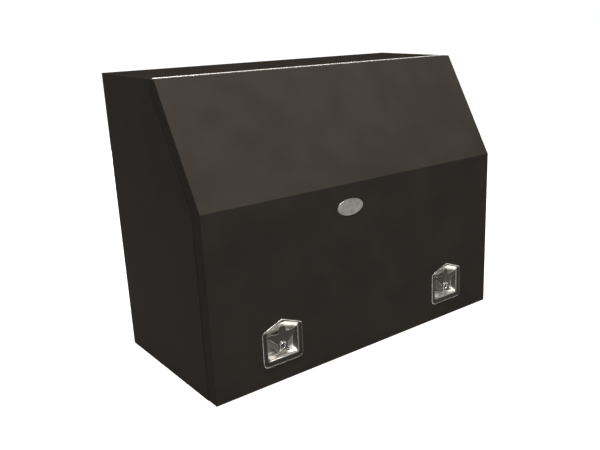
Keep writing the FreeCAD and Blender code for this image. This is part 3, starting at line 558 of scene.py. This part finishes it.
def buildLug(name, pin, side, floorDepth):
    # an upright tab with a round nose that carries one end of the handle's pin
    lug = dish["lug"]
    tip = pin.y - lug["half"]
    nose = lug["half"] * 0.96
    outline = roundedOutline([(tip, pin.z - lug["half"], nose), (tip, pin.z + lug["half"], nose),
                              (floorDepth, pin.z + lug["half"], lug["edge"]),
                              (floorDepth, pin.z - lug["half"], lug["edge"])])
    near = pin.x + side * lug["start"]
    faces = [near, near + side * lug["sheet"]]
    piece = loftRings(name, [[(across, y, z) for y, z in outline] for across in faces], True, True)
    applyModifier(piece, "BEVEL", width=lug["edge"], segments=2, limit_method="ANGLE", angle_limit=math.radians(60))
    return piece


def buildDish(hand):
    nodeName = f"latch_dish_{hand}"
    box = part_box(nodeName)
    box = (Vector(box[0]), Vector(box[1]))
    rings = []
    for depth, inset, foot, ridge in dish["flange"]:
        topRadius = dish["topRadius"] - inset * mm / 2
        rings.append(houseRing(box, depth, inset, foot, ridge, dish["bottomRadius"] - inset * mm / 2,
                               topRadius, topRadius))
    for depth, inset, foot, ridge in dish["mouth"]:
        rings.append(houseRing(box, depth, inset, foot, ridge, dish["mouthRadius"], dish["mouthRadius"],
                               dish["archRadius"]))
    obj = loftRings(f"latchDish_{hand}", rings, capLast=True)
    turnedOutwards(obj, (0, -1, 0))
    applyModifier(obj, "SOLIDIFY", thickness=dish["sheet"], offset=-1)
    pin = joints[f"handle_lift_{hand}"]["pos_m"]
    floorDepth = box[0].y + dish["mouth"][-1][0] * mm + dish["sheet"] / 2
    lugs = [buildLug(f"pinLug_{hand}", Vector(pin), side, floorDepth) for side in (-1, 1)]
    obj = joinPieces(f"latchDish_{hand}", [obj, *lugs])
    finishPiece(obj, 40)
    dress(obj, nodeName)


for hand in hands:
    buildDish(hand)
print("latch dishes built")


def latchCentre(hand):
    low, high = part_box(f"latch_dish_{hand}")
    return (low[0] + high[0]) / 2


def plateFromOutline(name, outline, near, far):
    # an outline in X and Z, filled and extruded between two depths
    obj = loftRings(name, [[(u, near, v) for u, v in outline], [(u, far, v) for u, v in outline]], True, True)
    return obj


# handles: a whale-tail plate that pivots on a pin, with two legs beside the lock

handle = {
    # right half from the leg up and round the fluke to the tongue: (across, above the pin, corner radius) in mm
    "outline": ((12.5, -5, 2), (19, -5, 3), (19, 26, 9), (43, 48, 7), (51.5, 56.5, 4), (47.5, 68, 3.5),
                (14.5, 62.5, 4), (11.5, 87.5, 10.5)),
    "slotTop": 32,
    "slotRadius": 11,
    "edge": 0.7 * mm,
    "ridge": {"radius": 15.4 * mm, "halfWidth": 2.7 * mm, "halfDepth": 2.2 * mm, "start": -20, "end": 200,
              "steps": 24, "sides": 12},
}


def buildRidge(name, middle):
    # a rounded rib that arches over the lock, with an oval section
    shape = handle["ridge"]
    rings = []
    for step in range(shape["steps"] + 1):
        angle = math.radians(shape["start"] + (shape["end"] - shape["start"]) * step / shape["steps"])
        outward = Vector((math.cos(angle), 0, math.sin(angle)))
        ring = []
        for side in range(shape["sides"]):
            turn = 2 * math.pi * side / shape["sides"]
            reach = shape["radius"] + shape["halfWidth"] * math.cos(turn)
            ring.append(middle + outward * reach + Vector((0, shape["halfDepth"] * math.sin(turn), 0)))
        rings.append(ring)
    return loftRings(name, rings, True, True)


def buildHandle(hand):
    nodeName = f"latch_handle_{hand}"
    low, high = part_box(nodeName)
    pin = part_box(f"handle_pin_{hand}")
    pinHeight = (pin[0][2] + pin[1][2]) / 2
    pinDepth = (pin[0][1] + pin[1][1]) / 2
    centre = latchCentre(hand)
    right = [(centre + u * mm, pinHeight + v * mm, radius * mm) for u, v, radius in handle["outline"]]
    left = [(2 * centre - u, v, radius) for u, v, radius in reversed(right)]
    slot = handle["outline"][0][0] * mm
    top = pinHeight + handle["slotTop"] * mm
    arch = [(centre - slot, top, handle["slotRadius"] * mm), (centre + slot, top, handle["slotRadius"] * mm)]
    sheet = (pinDepth - low[1]) * 0.36
    plate = plateFromOutline(f"handlePlate_{hand}", roundedOutline(right + left + arch), pinDepth - sheet,
                             pinDepth + sheet)
    applyModifier(plate, "BEVEL", width=handle["edge"], segments=3, limit_method="ANGLE",
                  angle_limit=math.radians(50))
    lockHeight = joints[f"key_turn_{hand}"]["pos_m"][2]
    parts = [plate, buildRidge(f"handleRidge_{hand}", Vector((centre, pinDepth - sheet, lockHeight)))]
    leg = handle["outline"][1][0] * mm
    radius = (pinDepth - low[1]) * 0.97
    for sign in (-1, 1):
        start = slot if sign > 0 else -leg
        eye = [(0.0022, start), (radius - 0.0004, start), (radius, start + 0.0004),
               (radius, start + leg - slot - 0.0004), (radius - 0.0004, start + leg - slot), (0.0022, start + leg - slot)]
        parts.append(lathe(f"handleEye_{hand}", (centre, pinDepth, pinHeight), (1, 0, 0), eye, 28, closed=True))
    obj = joinPieces(f"latchHandle_{hand}", parts)
    finishPiece(obj, 40)
    dress(obj, nodeName)


# locks: a collared barrel with a threaded tail

lock = {
    "collar": 11 * mm,
    "collarHeight": 3.5 * mm,
    "thread": 9 * mm,
    "pitch": 1.25 * mm,
    "bore": 6.55 * mm,
    "face": 6.5 * mm,
    "keyWidth": 2 * mm,
    "keyHeight": 8.6 * mm,
}


def buildBarrel(hand):
    nodeName = f"lock_barrel_{hand}"
    low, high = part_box(nodeName)
    centre = ((low[0] + high[0]) / 2, low[1], (low[2] + high[2]) / 2)
    long = high[1] - low[1]
    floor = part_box(f"barrel_nut_{hand}")[0][1] - 0.0016 - low[1]
    edge = 0.7 * mm
    profile = [(lock["bore"], long), (lock["thread"] - 0.0005, long)]
    along = long - lock["pitch"] / 2
    while along > floor + lock["pitch"]:
        profile += [(lock["thread"], along), (lock["thread"] - 0.0005, along - lock["pitch"] / 2)]
        along -= lock["pitch"]
    profile += [(lock["thread"] - 0.0005, floor), (lock["collar"] - 0.0006, floor), (lock["collar"], floor - edge),
                (lock["collar"], edge * 1.6), (lock["collar"] - edge * 0.5, edge * 0.5), (lock["collar"] - edge * 1.4, 0),
                (lock["bore"] + edge * 2.4, 0), (lock["bore"] + edge * 1.2, edge * 0.5), (lock["bore"], edge * 2)]
    obj = lathe(f"lockBarrel_{hand}", centre, (0, 1, 0), profile, 48, closed=True)
    finishPiece(obj, 40)
    dress(obj, nodeName)


# badge: a bare oval plate with a raised rim and a slightly crowned field

badge = {
    "sides": 72,
    # (inset from the edge, height above the lid) in mm
    "profile": ((0, 0), (0, 0.7), (0.35, 1.25), (1, 1.5), (2.2, 1.5), (2.9, 1.2), (3.4, 0.75), (4.2, 0.6),
                (9, 0.85), (16, 1.05), (22, 1.12)),
}


def buildBadge():
    low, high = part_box("lid_badge")
    centre = Vector(((low[0] + high[0]) / 2, high[1], (low[2] + high[2]) / 2))
    wide = (high[0] - low[0]) / 2
    tall = (high[2] - low[2]) / 2
    rings = []
    for inset, height in badge["profile"]:
        ring = []
        for side in range(badge["sides"]):
            angle = 2 * math.pi * side / badge["sides"]
            ring.append(centre + Vector(((wide - inset * mm) * math.cos(angle), -height * mm,
                                         (tall - inset * mm) * math.sin(angle))))
        rings.append(ring)
    obj = loftRings("badgePlate", rings, True, True)
    finishPiece(obj, 30)
    dress(obj, "lid_badge")


# door seal: a soft bulb on a flat strip, all round the opening

case = {
    "lidFront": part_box("lid_panel")[0][1],
    "lidTop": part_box("lid_panel")[1][2],
    "kneeHeight": 600 * mm,
    "slopeRun": 210 * mm,
    "sealBase": 17 * mm,   # from the lid's face to the lips that the seal sits on
}
seal = {
    "width": 12 * mm,
    "height": case["sealBase"] - (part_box("door_seal")[0][1] - case["lidFront"]),
    # (across the strip, out towards the lid) as shares of the strip's width and height
    "profile": ((-0.5, 0), (0.5, 0), (0.5, 0.2), (0.36, 0.26), (0.42, 0.42), (0.45, 0.6), (0.38, 0.8), (0.22, 0.94),
                (0, 1), (-0.22, 0.94), (-0.38, 0.8), (-0.45, 0.6), (-0.42, 0.42), (-0.36, 0.26), (-0.5, 0.2)),
}


def sealNodes():
    # corners of the strip's middle line, each with its two outward directions across and out to the lid
    low, high = [Vector(corner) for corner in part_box("door_seal")]
    front = Vector((0, -1, 0))
    slope = Vector((0, case["slopeRun"], case["lidTop"] - case["kneeHeight"])).normalized()
    leaning = Vector((0, -slope.z, slope.y))
    knee = (front + leaning) / (1 + front.dot(leaning))
    depth = case["sealBase"]
    half = seal["width"] / 2
    side = high.x - half
    kneePoint = Vector((0, case["lidFront"], case["kneeHeight"])) - knee * depth
    foot = Vector((0, case["lidFront"] + depth, low.z + half))
    head = Vector((0, high.y, 0))
    run = (head.y - kneePoint.y) / slope.y - half
    crest = kneePoint + slope * run
    nodes = []
    for sign in (1, -1):
        across = Vector((sign, 0, 0))
        shift = across * side
        mine = [(foot + shift, across + Vector((0, 0, -1)), front), (kneePoint + shift, across, knee),
                (crest + shift, across + slope, leaning)]
        nodes += mine if sign > 0 else reversed(mine)
    return nodes


def buildSeal():
    rings = []
    for middle, across, out in sealNodes():
        rings.append([middle + across * u * seal["width"] + out * v * seal["height"] for u, v in seal["profile"]])
    obj = loftRings("doorSeal", rings, closed=True)
    finishPiece(obj, 40)
    dress(obj, "door_seal")


# hinge rivets: domed heads on both sides of the leaf

rivet = {
    "dome": ((0.4, 0.02), (1.4, 0.06), (2.4, 0.22), (3.1, 0.5), (3.5, 0.8), (3.6, 1)),   # radius and depth in mm
    "pitch": 100 * mm,
    "count": 11,
}


def buildRivets(nodeName, pieceName):
    low, high = [Vector(corner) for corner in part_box(nodeName)]
    long = high.y - low.y
    profile = [(radius * mm, depth * mm) for radius, depth in rivet["dome"]]
    profile += [(2 * mm, 1 * mm), (2 * mm, long - 1 * mm)]
    profile += [(radius * mm, long - depth * mm) for radius, depth in reversed(rivet["dome"])]
    first = Vector((-(rivet["count"] - 1) / 2 * rivet["pitch"], low.y, (low.z + high.z) / 2))
    parts = [lathe(pieceName, first, (0, 1, 0), profile, 24, capFirst=True, capLast=True)]
    for index in range(1, rivet["count"]):
        makeActive(parts[0])
        bpy.ops.object.duplicate(linked=False)
        bpy.ops.transform.translate(value=(index * rivet["pitch"], 0, 0))
        parts.append(bpy.context.active_object)
    obj = joinPieces(pieceName, parts)
    finishPiece(obj, 40)
    dress(obj, nodeName)


# gas struts: a painted tube with a crimped mouth, a plated rod, and an eye at each end

strut = {
    "eyeRadius": 8 * mm,
    "eyeHole": 4.05 * mm,
    "eyeHalf": 5 * mm,
    # radius and distance from the foot pivot in mm
    "tube": ((3.4, 6.6), (4.6, 7.2), (5, 8.2), (5, 10.6), (7, 11.6), (8.5, 12.6), (9, 14.2), (9, 190), (9, 193),
             (8.4, 194.2), (8.1, 195.4), (8.4, 196.6), (9, 197.8), (9, 199.6), (8.4, 201.2), (7.2, 202), (4.6, 202),
             (4.1, 201.4), (4.1, 196), (7.5, 195.4), (7.5, 17), (6.8, 16)),
    "rod": ((7.3, 36), (7.4, 36.6), (7.4, 38.4), (6.8, 39), (6.8, 41), (7.4, 41.6), (7.4, 43.4), (7.3, 44), (4, 44),
            (4, 150), (4, 243), (5.6, 243.4), (6, 244), (6, 249.4), (5.6, 250), (4.4, 250), (4.4, 253), (5, 253.8),
            (5, 257), (4.4, 259.6), (3.4, 260.4)),
}


def strutEye(name, centre):
    half = strut["eyeHalf"]
    edge = 0.8 * mm
    outer = strut["eyeRadius"]
    hole = strut["eyeHole"]
    profile = [(hole, -half + edge), (hole + edge, -half), (outer - edge, -half), (outer, -half + edge),
               (outer, half - edge), (outer - edge, half), (hole + edge, half), (hole, half - edge)]
    return lathe(name, centre, (1, 0, 0), profile, 36, closed=True)


def buildStrut(hand):
    foot = Vector(joints[f"strut_swing_{hand}"]["pos_m"])
    axis = Vector(joints[f"rod_slide_{hand}"]["axis"])
    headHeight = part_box(f"strut_rod_{hand}")[1][2] - strut["eyeRadius"]
    head = foot + axis * (headHeight - foot.z) / axis.z
    for kind, end in (("tube", foot), ("rod", head)):
        profile = [(radius * mm, along * mm) for radius, along in strut[kind]]
        body = lathe(f"{kind}Body_{hand}", foot, axis, profile, 40, capFirst=True, capLast=True)
        obj = joinPieces(f"strut{kind.title()}_{hand}", [body, strutEye(f"{kind}Eye_{hand}", end)])
        finishPiece(obj, 35)
        dress(obj, f"strut_{kind}_{hand}")


for hand in hands:
    buildHandle(hand)
    buildBarrel(hand)
    buildStrut(hand)
print("handles, locks and struts built")

buildBadge()
buildSeal()
buildRivets("hinge_rivets_lid", "hingeRivets_lid")
buildRivets("hinge_rivets_casing", "hingeRivets_casing")
print("badge, seal and rivets built")
